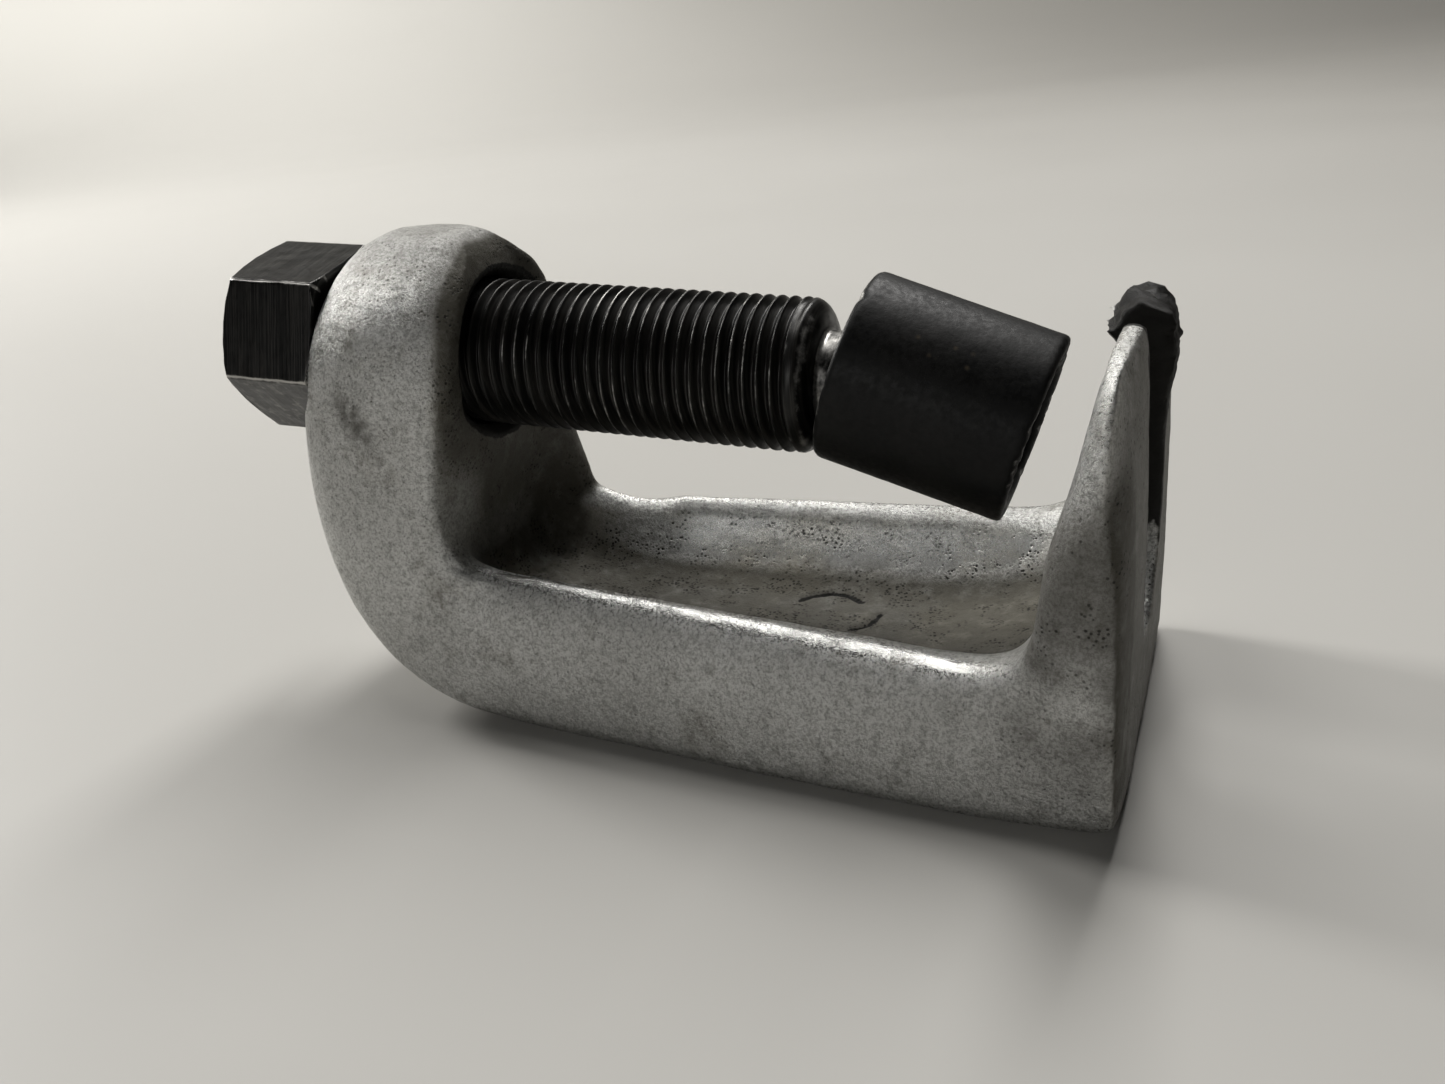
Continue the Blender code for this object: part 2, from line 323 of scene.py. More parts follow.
def forged_material():
    """Blasted and plated forging: satin grey with dark speckle, bright rubbed edges, brown filmy grime and
    black grease, with painted highlights in the bright colour and painted shade in the dark ones.
    """
    material, n = new_material("forged_steel")
    wear = n.attribute("wear")
    dirt_and_shade = n.attribute("dirt_and_shade")
    soot_and_shade = n.attribute("soot_and_shade")
    polish = n.attribute("polish")
    pit = n.attribute("pit")
    broad = n.noise(70.0, 5.0, 0.6)
    stain = n.noise(150.0, 5.0, 0.7)
    coarse = n.noise(1100.0, 2.0, 0.5)
    grain = n.noise(3000.0, 4.0, 0.85)
    rubbed = n.ramp(n.ragged(wear, grain, 0.6), 0.35, 0.80)
    colour = n.blend(n.ramp(broad, 0.30, 0.72), (0.54, 0.54, 0.522), (0.68, 0.68, 0.662))
    colour = n.blend(n.ramp(grain, 0.40, 0.57, 0.60, 0.0), colour, (0.17, 0.168, 0.158))
    dark = n.times(n.ramp(coarse, 0.50, 0.68), n.ramp(stain, 0.36, 0.64, 0.20, 0.42))
    colour = n.blend(dark, colour, (0.13, 0.127, 0.112))
    colour = n.blend(n.ramp(stain, 0.52, 0.70, 0.0, 0.42), colour, (0.17, 0.158, 0.130))
    # bright rubbed metal, which also paints highlights on the frame's rim crests, trough wall and tine top
    colour = n.blend(rubbed, colour, (0.86, 0.86, 0.84))
    yellow = n.times(pit, n.ramp(broad, 0.40, 0.62, 0.0, 0.45))
    colour = n.blend(yellow, colour, (0.56, 0.51, 0.38))
    # dark filmy grime, which also paints shade on the trough floor and end, the boss's inner wall and crown,
    # the fork's outer face and the near tine's side
    film_and_shade = n.times(dirt_and_shade, n.ramp(n.noise(420.0, 4.0, 0.65), 0.20, 0.55, 0.82, 1.0))
    colour = n.blend(n.times(film_and_shade, 0.94), colour, (0.062, 0.057, 0.043))
    spots = n.times(n.ramp(n.cells(1800.0), 0.14, 0.32, 1.0, 0.0), n.ramp(n.noise(300.0, 3.0), 0.46, 0.60))
    spots = n.times(spots, n.plus(n.times(dirt_and_shade, 0.6), 0.32))
    clusters = n.ramp(n.noise(300.0, 4.0, 0.65), 0.44, 0.60)
    specks = n.times(n.ramp(n.cells(2000.0), 0.22, 0.40, 1.0, 0.0), clusters)
    spots = n.most(spots, n.times(specks, pit))
    colour = n.blend(spots, colour, (0.012, 0.011, 0.009))
    # black grease, which also paints shade in the bore's mouth, up the slot's walls and on the fork's outer
    # face and the boss's inner wall
    muck_and_shade = n.ramp(n.ragged(soot_and_shade, n.noise(420.0, 4.0, 0.7), 1.1), 0.36, 0.62)
    colour = n.blend(muck_and_shade, colour, (0.008, 0.0075, 0.006))
    n.set("Base Color", colour)
    n.set("Metallic", n.times(n.minus(1.0, muck_and_shade), n.ramp(film_and_shade, 0.0, 1.0, 0.93, 0.20)))
    n.set("Specular IOR Level", n.ramp(n.most(film_and_shade, muck_and_shade), 0.0, 1.0, 0.5, 0.2))
    rough = n.ramp(grain, 0.3, 0.7, 0.27, 0.39)
    rough = n.plus(rough, n.times(film_and_shade, 0.24))
    rough = n.minus(rough, n.times(polish, 0.13))
    n.set("Roughness", n.plus(rough, n.times(muck_and_shade, 0.12)))
    relief = n.plus(grain, n.times(coarse, 0.9))
    relief = n.minus(relief, n.times(spots, 0.8))
    n.set("Normal", n.bump(relief, 0.00016, n.ramp(polish, 0.0, 1.0, 0.85, 0.40)))
    return material


def screw_material():
    """Black oxide on machined steel: near black, oily, rubbed to grey on crests and corners."""
    material, n = new_material("black_screw")
    wear = n.attribute("wear")
    fine = n.noise(900.0, 3.0, 0.6)
    lines = n.noise(1.0, 2.0, 0.5, n.stretch((5600.0, 90.0, 90.0)))
    rubbed = n.ramp(n.ragged(wear, fine, 0.7), 0.38, 0.82)
    broad = n.ramp(n.noise(160.0, 3.0), 0.35, 0.65)
    colour = n.blend(broad, (0.0035, 0.0035, 0.0033), (0.010, 0.0096, 0.0088))
    colour = n.blend(n.ramp(lines, 0.45, 0.62, 0.0, 0.75), colour, (0.034, 0.032, 0.029))
    colour = n.blend(rubbed, colour, (0.46, 0.45, 0.43))
    n.set("Base Color", colour)
    n.set("Metallic", n.ramp(rubbed, 0.0, 1.0, 0.55, 1.0))
    n.set("Roughness", n.ramp(fine, 0.3, 0.7, 0.28, 0.42))
    n.set("Normal", n.bump(n.plus(lines, n.times(fine, 0.5)), 0.00003, 0.6))
    return material


def cup_material():
    """Matte black cup with a fine grain, dusty patches and bright nicks along its edges."""
    material, n = new_material("black_cup")
    wear = n.attribute("wear")
    fine = n.noise(1600.0, 3.0, 0.6)
    rubbed = n.ramp(n.ragged(wear, n.noise(700.0, 4.0, 0.6), 1.1), 0.45, 0.85)
    broad = n.ramp(n.noise(130.0, 4.0, 0.6), 0.4, 0.66)
    colour = n.blend(broad, (0.0022, 0.0024, 0.0023), (0.0062, 0.0060, 0.0055))
    dust = n.times(n.ramp(n.cells(420.0), 0.0, 0.16, 1.0, 0.0), n.ramp(n.noise(90.0), 0.5, 0.66))
    colour = n.blend(n.times(dust, 0.6), colour, (0.10, 0.075, 0.045))
    colour = n.blend(rubbed, colour, (0.30, 0.295, 0.28))
    n.set("Base Color", colour)
    n.set("Metallic", n.ramp(rubbed, 0.0, 1.0, 0.0, 0.95))
    n.set("Roughness", n.ramp(fine, 0.3, 0.7, 0.40, 0.56))
    n.set("Specular IOR Level", 0.20)
    n.set("Normal", n.bump(n.plus(fine, n.noise(500.0, 2.0)), 0.00004, 0.6))
    return material


def ring_material():
    """Plain dark steel of the retaining ring."""
    material, n = new_material("spring_steel")
    fine = n.noise(1200.0, 3.0, 0.6)
    n.set("Base Color", n.blend(fine, (0.05, 0.05, 0.05), (0.18, 0.175, 0.165)))
    n.set("Metallic", 0.9)
    n.set("Roughness", n.ramp(fine, 0.3, 0.7, 0.3, 0.5))
    return material


# frame


def rim_z(x):
    """Height of the spine's rims."""
    return -mix(rim_drop_boss, rim_drop_fork, x / throat_length)


def back_z(x):
    """Height of the spine's flat back."""
    return -mix(back_drop_boss, back_drop_fork, (x - back_start) / (fork_out - back_start))


def side_y(x):
    """Half width of the frame."""
    return mix(half_width_boss, half_width_fork, max(x, 0.0) / fork_out)


def rim_y(x):
    """Width of a rim."""
    return mix(rim_width_boss, rim_width_fork, min(max(x, 0.0) / fork_in, 1.0))


def frame_sections():
    """Sections round the C, close to the CAD part's, with rounder edges and a fuller boss.

    Each has its inner point, outer point, half width, trough depth, and inner and outer edge radii."""
    f = corner_fillet
    back = -boss_length - 0.5 * boss_bulge
    bulge = -boss_length - boss_bulge
    rows = []
    # boss: a round eye about the screw axis that flares into the spine
    crown = ((1.0, 3.4, 8.4), (0.9, 1.1, 4.8), (0.70, 0.2, 2.0), (0.38, 0.0, 0.4))
    for part, inset_in, inset_out in crown:
        z = boss_radius * part
        y = math.sqrt(max(boss_radius ** 2 - z ** 2, 0.0)) if part < 1.0 else 0.36 * boss_radius
        rows.append(((-inset_in, z), (back + inset_out, z), y, 0.0, 2.6, 5.0))
    rows.append(((0.0, 0.0), (mix(back, bulge, 0.5), 0.0), boss_radius + 0.3, 0.0, 1.5, 4.0))
    low = rim_z(0.0) + f
    drop = back_drop_boss
    rows.append(((0.0, mix(0.0, low, 0.6)), (bulge - 0.2, -0.27 * drop),
                 mix(boss_radius, half_width_boss, 0.6), 0.0, 1.5, 4.0))
    rows.append(((0.0, low), (bulge + 1.0, -0.52 * drop), half_width_boss - 0.3, 0.6, 1.5, 3.6))
    # bend from the boss into the spine
    rows.append(((0.12 * f, low - 0.55 * f), (bulge + 4.4, -0.76 * drop), half_width_boss, 2.8, 1.6, 3.2))
    rows.append(((0.42 * f, low - 0.92 * f), (bulge + 11.2, -0.93 * drop), side_y(1.0),
                 0.72 * trough_depth, 2.3, 2.6))
    rows.append(((1.05 * f, rim_z(1.05 * f)), (-1.5, back_z(-1.5) + 0.5), side_y(4.0),
                 trough_depth, 2.8, 1.8))
    # straight spine
    for part in (0.24, 0.46, 0.68):
        x = throat_length * part
        rows.append(((x, rim_z(x)), (x, back_z(x)), side_y(x), trough_depth, 3.0, 1.4))
    x = fork_in - 1.5 * f
    rows.append(((x, rim_z(x)), (x + 1.2, back_z(x)), side_y(x), trough_depth, 2.8, 1.3))
    # bend from the spine into the fork
    corner = back_z(fork_out)
    x = fork_in - 0.62 * f
    rows.append(((x, rim_z(x) + 0.2), (fork_out - 2.2, corner), side_y(x), 0.85 * trough_depth, 2.2, 1.2))
    rows.append(((fork_in - 0.12 * f, rim_z(fork_in) + 0.35 * f), (fork_out + 0.6, corner + 0.6),
                 side_y(fork_in), 2.4, 1.2, 1.2))
    foot = rim_z(fork_in) + 0.95 * f
    rows.append(((fork_in, foot), (fork_out + 0.2, corner + 4.5), half_width_fork - 0.4, 0.4, 1.2, 1.2))
    # tapering tines
    lean = fork_base - tip_setback - tip_thickness
    for rise, share in ((0.265, 0.08), (0.489, 0.46), (0.704, 0.69), (0.892, 0.87)):
        z = mix(foot, tip_rise, rise)
        s = (rise - 0.265) / 0.735
        outer = fork_out - mix(0.6, tip_setback - 0.2, s)
        width = half_width_fork - 0.4 * s - 3.4 * s ** 4
        edge_in = mix(1.4, 2.6, min(3.0 * s, 1.0))
        rows.append(((fork_in + share * lean, z), (outer, z), width, 0.0, edge_in, 1.1 + 9.0 * s))
    rows.append(((fork_in + lean, tip_rise), (fork_out - tip_setback, tip_rise),
                 half_width_fork - 5.4, 0.0, 0.8, 8.0))
    return rows


def frame_cage():
    """Coarse cage over the sections, closed at both ends, with creased rims."""
    bm = bmesh.new()
    crease = bm.edges.layers.float.new("crease_edge")
    loops = []
    for inner, outer, width, dip, edge_in, edge_out in frame_sections():
        a = Vector((inner[0], 0.0, inner[1]))
        n = Vector((outer[0] - inner[0], 0.0, outer[1] - inner[1]))
        depth = n.length
        n.normalize()
        edge_in = min(edge_in, 0.45 * depth)
        slope_out = min(edge_out, 0.55 * width)
        edge_out = min(edge_out, 0.4 * depth)
        land = width - min(rim_y(inner[0]), 0.4 * width)
        half = [(0.45 * land, dip), (0.76 * land, 0.96 * dip), (land, 0.0),
                (width - edge_in, -0.25 * edge_in), (width, edge_in), (width, depth - edge_out),
                (width - slope_out, depth)]
        points = [(0.0, dip * 1.03)] + half + [(0.0, depth)] + [(-y, d) for y, d in reversed(half)]
        loops.append([bm.verts.new(a + n * d + Vector((0.0, y, 0.0))) for y, d in points])
    count = len(loops[0])
    for first, second in zip(loops, loops[1:]):
        for i in range(count):
            j = (i + 1) % count
            bm.faces.new((first[i], first[j], second[j], second[i]))
    for loop in (loops[0], loops[-1]):
        bm.faces.new((loop[0], loop[1], loop[-1]))
        for i in range(1, 7):
            bm.faces.new((loop[i], loop[i + 1], loop[-i - 1], loop[-i]))
        bm.faces.new((loop[7], loop[8], loop[9]))
    for first, second in zip(loops[8:16], loops[9:17]):
        for i in (3, -3):
            bm.edges.get((first[i], second[i]))[crease] = 0.25
    return bm


def from_bmesh(name, bm):
    """Bare object from a bmesh, which is freed."""
    mesh = bpy.data.meshes.new(name)
    bmesh.ops.recalc_face_normals(bm, faces=bm.faces)
    bm.to_mesh(mesh)
    bm.free()
    item = bpy.data.objects.new(name, mesh)
    bpy.context.scene.collection.objects.link(item)
    return item


def turned(profile, segments):
    """Solid turned about X from (x, radius) points, with both ends on the axis."""
    bm = bmesh.new()
    rings = []
    for x, r in profile:
        if r < 1e-6:
            rings.append([bm.verts.new((x, 0.0, 0.0))])
            continue
        turns = [2.0 * math.pi * i / segments for i in range(segments)]
        rings.append([bm.verts.new((x, r * math.cos(a), r * math.sin(a))) for a in turns])
    for first, second in zip(rings, rings[1:]):
        for i in range(segments):
            j = (i + 1) % segments
            if len(first) == 1:
                bm.faces.new((first[0], second[j], second[i]))
            elif len(second) == 1:
                bm.faces.new((first[i], first[j], second[0]))
            else:
                bm.faces.new((first[i], first[j], second[j], second[i]))
    return bm


def extruded(points, place):
    """Prism over an outline; place(u, v, end) gives each corner at end 0 and end 1."""
    bm = bmesh.new()
    ends = [[bm.verts.new(place(u, v, end)) for u, v in points] for end in (0, 1)]
    for i in range(len(points)):
        j = (i + 1) % len(points)
        bm.faces.new((ends[0][i], ends[0][j], ends[1][j], ends[1][i]))
    bm.faces.new(ends[0])
    bm.faces.new(list(reversed(ends[1])))
    return bm


def evaluated(item):
    """The object's mesh after its modifiers, and its points."""
    mesh = bpy.data.meshes.new_from_object(item.evaluated_get(bpy.context.evaluated_depsgraph_get()))
    points = np.zeros(len(mesh.vertices) * 3)
    mesh.vertices.foreach_get("co", points)
    return mesh, points.reshape(-1, 3)


def neighbours(mesh):
    """Function that averages values over the neighbours of each of the mesh's points."""
    count = len(mesh.vertices)
    edges = np.zeros(len(mesh.edges) * 2, int)
    mesh.edges.foreach_get("vertices", edges)
    a, b = edges.reshape(-1, 2).T
    degree = np.maximum(np.bincount(a, minlength=count) + np.bincount(b, minlength=count), 1)

    def average(values):
        total = np.zeros_like(values)
        for k in range(values.shape[1]):
            total[:, k] = np.bincount(a, values[b, k], count) + np.bincount(b, values[a, k], count)
        return total / degree[:, None]

    return average


def forging_shape():
    """The frame's smooth surface with its cuts, as an even fine mesh in millimetres."""
    body = from_bmesh("forging_cage", frame_cage())
    smooth = body.modifiers.new("smooth", "SUBSURF")
    smooth.levels = 4
    smooth.render_levels = 4
    spot_r = hex_across_flats * 0.64
    bore = from_bmesh("bore_cut", turned([
        (-boss_length - 9.0, 0.0), (-boss_length - 9.0, spot_r), (-boss_length, spot_r),
        (-boss_length, bore_r + 0.6), (-boss_length + 0.6, bore_r), (-1.5, bore_r), (0.2, bore_r + 1.25),
        (4.0, bore_r + 1.25), (4.0, 0.0)], 96))
    half = slot_width / 2.0
    outline = [(half + 0.5, tip_rise + 9.0), (half, -slot_drop + half)]
    for i in range(1, 32):
        a = math.pi * i / 32.0
        outline.append((half * math.cos(a), -slot_drop + half - half * math.sin(a)))
    outline += [(-half, -slot_drop + half), (-half - 0.5, tip_rise + 9.0)]
    through = (fork_in - 7.0, fork_out + 6.0)
    slot = from_bmesh("slot_cut", extruded(outline, lambda y, z, end: (through[end], y, z)))
    far = fork_out + 20.0
    deep = -2.0 * back_drop_boss
    ground = [(-far, back_z(-far) + back_skim), (far, back_z(far) + back_skim), (far, deep), (-far, deep)]
    skim = from_bmesh("skim_cut", extruded(ground, lambda x, z, end: (x, mix(-60.0, 60.0, end), z)))
    for cutter in (bore, slot, skim):
        cut = body.modifiers.new(cutter.name, "BOOLEAN")
        cut.solver = "EXACT"
        cut.object = cutter
    exact, exact_points = evaluated(body)
    polygons = [tuple(p.vertices) for p in exact.polygons]
    tree = BVHTree.FromPolygons([Vector(p) for p in exact_points], polygons)
    fine = body.modifiers.new("even", "REMESH")
    fine.mode = "VOXEL"
    fine.voxel_size = skin_mesh
    mesh, points = evaluated(body)
    for item in (body, bore, slot, skim):
        bpy.data.objects.remove(item, do_unlink=True)
    points = np.array([tree.find_nearest(Vector(p))[0] for p in points])
    return mesh, points


def normals_of(mesh, points):
    """Normals of the mesh with its points moved there."""
    mesh.vertices.foreach_set("co", points.ravel())
    mesh.update()
    normals = np.zeros(len(points) * 3)
    mesh.vertex_normals.foreach_get("vector", normals)
    return normals.reshape(-1, 3)


def on_fork(x):
    """1 on the fork, 0 on the spine and the boss."""
    return step(fork_in - 1.0, fork_in + 1.0, x)


def in_trough(x, y, z):
    """1 inside the spine's trough."""
    deep = step(0.4, 2.0, rim_z(x) - z) * step(-4.0, 3.0, x) * step(fork_in + 1.0, fork_in - 3.0, x)
    land = np.interp(x, [0.0, fork_in], [side_y(0.0) - rim_width_boss, side_y(fork_in) - rim_width_fork])
    return deep * (np.abs(y) < land + 0.1)


def shape_boss(points, normals, average):
    """Run the boss out into the far rim in a wide sweep, and tighten its near inner corner."""
    # these are views, so they follow the moves below
    x, y, z = points.T
    facing = step(0.1, 0.6, normals[:, 0]) * step(-3.5, -1.5, x)
    sweep = step(5.0, 12.0, y) * step(-0.5, -9.0, z) * step(-23.5, -18.0, z) * step(9.0, 4.0, x)
    brow = step(3.0, 9.0, y) * step(-3.0, 3.0, z) * step(12.5, 9.0, z)
    tight = step(-5.0, -12.0, y) * step(0.0, -15.0, z) * step(-23.5, -20.5, z) * step(9.0, 4.0, x)
    reach = mix(2.0, 3.4, step(-11.0, -17.0, z))
    points[:, 0] += facing * (reach * sweep + 0.9 * brow - 1.9 * tight)
    ramped = np.clip(10.0 - x, 0.0, 8.0) ** 2 * (x > -1.0)
    ramped = ramped * step(6.0, 11.0, y) * step(0.3, 0.8, normals[:, 2])
    rim = rim_z(0.0)
    points[:, 2] += 0.06 * ramped * step(rim - 4.0, rim - 1.5, z) * step(-12.0, -17.0, z)
    inside = step(-3.0, -1.0, x)
    far = step(2.0, 7.0, y) * step(15.0, 10.0, x) * step(-27.0, -24.0, z) * step(-5.0, -10.0, z)
    near = step(-4.0, -9.0, y) * step(9.0, 6.0, x) * step(-22.0, -18.0, z) * step(-2.0, -6.0, z)
    corner = inside * np.maximum(far, near)
    for _ in range(corner_rounding):
        points = mix(points, average(points), 0.6 * corner[:, None])
    return points


def grease_rear_tine(points, normals):
    """Hook the rear tine's tip towards the screw and thicken it with grease."""
    x, y, z = points.T.copy()
    hook = step(1.6, 5.4, z) * step(2.0, 6.0, y) * on_fork(x)
    behind = np.clip((fork_out - tip_setback + 0.6 - x) / 3.0, 0.0, 1.2)
    clot = 0.5 + 0.5 * noise_at(points, 2.8, 71.0) + 0.25 * noise_at(points, 1.1, 73.0)
    points[:, 0] -= hook * behind * (1.1 + 1.5 * clot)
    crooked = noise_at(points * (1.0, 0.5, 0.0), 1.3, 77.0)
    sag = 2.6 * np.clip(0.45 - behind, 0.0, 0.5) + 1.6 * behind ** 2 * step(4.0, 7.0, z) + 0.5 * crooked
    points[:, 2] -= hook * sag
    grease = step(-7.0, 0.0, z) * step(6.0, 9.0, y) * on_fork(x)
    lumps = np.clip(0.6 * clot + 0.25 * noise_at(points, 1.0, 79.0), 0.0, 0.9)
    return points + normals * (grease * lumps)[:, None]


def forging_skin(points, normals, trough, tip, tall, free):
    """Slow waves, small dents, pits that are thicker in the trough, and hammered fork tips."""
    lift = 0.10 * noise_at(points, 8.0, 3.1) + 0.05 * noise_at(points, 2.6, 9.7)
    lift += 0.035 * noise_at(points, 1.2, 4.4)
    pits = step(0.34, 0.08, cells_at(points, 2.3, 5.0))
    pits = pits * step(-0.05, 0.35, noise_at(points, 6.0, 7.0) + 0.35 * trough)
    lift -= 0.16 * pits * (0.45 + 0.55 * trough)
    lift += trough * 0.03 * noise_at(points, 1.6, 12.0)
    chew = noise_at(points * (0.6, 1.0, 1.0), 1.9, 2.0)
    lift -= tip * tip * (0.30 + 0.55 * chew)
    points = points + normals * (lift * free)[:, None]
    drop = tip ** 3 * np.clip(0.5 + 0.9 * noise_at(points * (0.3, 1.0, 0.3), 2.2, 20.0), 0.0, 1.2)
    points[:, 2] += near_tine_rise * tall - drop
    points[:, 0] -= tip ** 4 * 0.5 * np.clip(noise_at(points, 1.5, 31.0) + 0.2, 0.0, 1.0)
    return points


def stroke(x, y, path, width):
    """1 along a path of (x, y) points, fading to 0 at that distance from it."""
    near = np.zeros(len(x))
    for (ax, ay), (bx, by) in zip(path, path[1:]):
        dx, dy = bx - ax, by - ay
        t = np.clip(((x - ax) * dx + (y - ay) * dy) / (dx ** 2 + dy ** 2), 0.0, 1.0)
        near = np.maximum(near, step(width, 0.1, np.hypot(x - ax - t * dx, y - ay - t * dy)))
    return near


def forging_marks(points, place, normals, ground):
    """Lap mark in the trough, scar on the boss's side, fold on the far rim and nicks at the near corner."""
    x, y, z = place.T
    mark = np.maximum(stroke(x, y, lap_path, 0.60), stroke(x, y, low_lap_path, 0.40))
    mark = mark * (z < rim_z(x) - 2.0) * (ground > 3.0) * (normals[:, 2] > 0.2)
    points[:, 2] -= 0.45 * mark
    along, above = x + 11.2, z + 4.9
    scar = step(2.6, 0.3, np.hypot(along * 0.75 + above * 0.65, 0.35 * (along - above)))
    scar = scar * (y < -10.0) * step(-0.2, 0.5, noise_at(points, 1.1, 41.0) + 0.35)
    points = points - normals * (0.16 * scar)[:, None]
    flaw = np.exp(-((x - 11.6) / 2.2) ** 2 - ((y - 15.4) / 0.8) ** 2) * (z > rim_z(x) - 3.0)
    nicks = np.exp(-((x - 0.8) / 2.6) ** 2 - ((y + 13.8) / 1.6) ** 2)
    nicks = nicks * step(-26.0, -23.0, z) * step(-14.0, -17.0, z)
    nicks = nicks * np.clip(0.3 + 1.2 * noise_at(points, 1.1, 61.0), 0.0, 1.0)
    points = points - normals * (0.45 * flaw + 0.40 * nicks)[:, None]
    return points, mark, scar, flaw


def paint_frame(item, points, place, normals, trough, tip, edge, hollow, mark, scar, flaw):
    """Paint where the forging is rubbed bright, filmed with grime, specked and black with grease, and where
    it gets painted highlights and painted shade.
    """
    x, y, z = place.T
    rim = rim_z(x)
    worn = step(0.03, 0.16, edge) * np.where(x > fork_in - 1.0, 0.55, 1.0)
    tilt = normals[:, 1] * np.sign(y)
    # the crest of each rim: rubbed bright, and its bright colour also paints a highlight along the crest
    crest = step(0.04, 0.22, tilt) * step(0.88, 0.60, tilt)
    crest = crest * step(-2.5, 4.0, x) * step(fork_in - 1.0, fork_in - 5.0, x)
    crest = crest * step(rim - 4.0, rim - 2.0, z) * step(rim + 6.0, rim + 3.0, z)
    crest = crest * np.clip(0.85 + 0.5 * noise_at(points, 3.2, 83.0), 0.0, 1.0)
    cloud = np.clip(0.5 + 0.9 * noise_at(points, 4.5, 51.0), 0.0, 1.0)

    # places in the trough and on the boss
    # trough floor: grime, and painted shade that darkens it
    floor = trough * step(0.45, 0.97, (normals @ LAY.T)[:, 2])
    # far wall of the trough: lightened with the bright rubbed colour, a painted highlight
    wall = (trough - floor) * step(8.0, 20.0, x)
    # trough's end at the boss: grime and painted shade
    end = trough * step(17.0, 5.0, x)
    near_foot = step(-5.0, -10.0, y) * step(-8.0, -15.0, z)
    # boss's inner wall, facing the fork: grime and painted shade
    inner_wall = step(0.10, 0.55, normals[:, 0]) * step(-2.5, -0.8, x) * step(12.0, 4.0, x)
    inner_wall = inner_wall * step(-15.4, -14.0, y) * (1.0 - 0.7 * near_foot)
    # bore's mouth round the screw: painted shade
    mouth = step(bore_r + 1.8, bore_r + 0.9, np.hypot(y, z)) * step(3.0, 1.0, x)
    # boss's crown: brown grime and painted shade that darkens its top
    crown = step(7.0, 12.0, z) * step(-2.0, -6.0, x)
    brim = step(-5.0, -2.0, x) * step(2.0, 0.5, x) * step(3.0, 7.0, z)

    # places on the fork
    # fork's outer end face: grime and painted shade
    outer_face = step(0.5, 0.85, normals[:, 0]) * step(fork_out - 4.0, fork_out - 2.0, x)
    # near tine's side: a cloud of painted shade standing in for its dark reflection
    shaded_tine_side = step(58.0, 62.0, x) * step(-17.0, -21.0, y) * step(-32.0, -24.0, z) * step(2.0, -6.0, z)
    # near tine's upper front: painted highlight
    sheen = step(-5.0, 2.0, z) * (y < -12.0) * on_fork(x)
    slot_half = slot_width / 2.0
    # slot walls: grease and painted shade, blacker higher up
    slot_wall = step(slot_half + 1.6, slot_half + 0.4, np.abs(y)) * step(fork_in - 2.0, fork_in + 1.0, x)
    top = step(tip_rise - 3.6, tip_rise - 1.2, z) * on_fork(x)
    ragged = z + 4.0 * noise_at(points, 5.0, 67.0) + 1.5 * noise_at(points, 1.6, 71.0)
    rear = step(2.0, 6.0, y) * step(tip_rise - 15.0, tip_rise - 5.0, ragged) * step(fork_in, fork_in + 1.5, x)
    rear = rear * mix(1.0, 0.25 + 0.5 * cloud, step(0.2, 0.7, normals[:, 1]))

    # grime, with the painted shade marked above in it; the surface is also darker in its hollows
    dirt_and_shade = 0.06 * trough + 0.90 * floor + 0.60 * end + 0.95 * inner_wall + 0.42 * crown + 0.55 * brim
    dirt_and_shade = dirt_and_shade + 0.8 * scar + 0.5 * flaw + 0.5 * step(0.05, 0.8, hollow) + 0.85 * outer_face
    dirt_and_shade = dirt_and_shade + 0.75 * shaded_tine_side * np.maximum(cloud, step(-18.0, -13.0, z))
    # black grease, with painted shade in the bore's mouth, the slot and on the fork's outer face and the
    # boss's inner wall
    soot_and_shade = 0.95 * top * step(-2.0, 4.0, y) + 0.22 * top * (y < 0.0) + 1.25 * rear + mark + 0.8 * mouth
    soot_and_shade = soot_and_shade + slot_wall * step(-22.0, -10.0, z) + outer_face * (0.06 + 0.12 * step(-26.0, -14.0, z))
    soot_and_shade = soot_and_shade + 0.20 * inner_wall + 0.12 * end * step(14.0, 4.0, x) + 0.10 * floor
    paint(item, "dirt_and_shade", dirt_and_shade)
    # rubbed edges, with painted highlights on the rim crests, the trough's far wall and the near tine's top
    paint(item, "wear", 0.45 * worn + 0.70 * crest + 0.78 * wall - 0.5 * tip * (y > 0.0) + 0.28 * sheen)
    paint(item, "polish", 0.6 * worn + crest + 0.7 * wall)
    paint(item, "pit", 0.95 * trough + 0.5 * inner_wall)
    paint(item, "soot_and_shade", soot_and_shade)


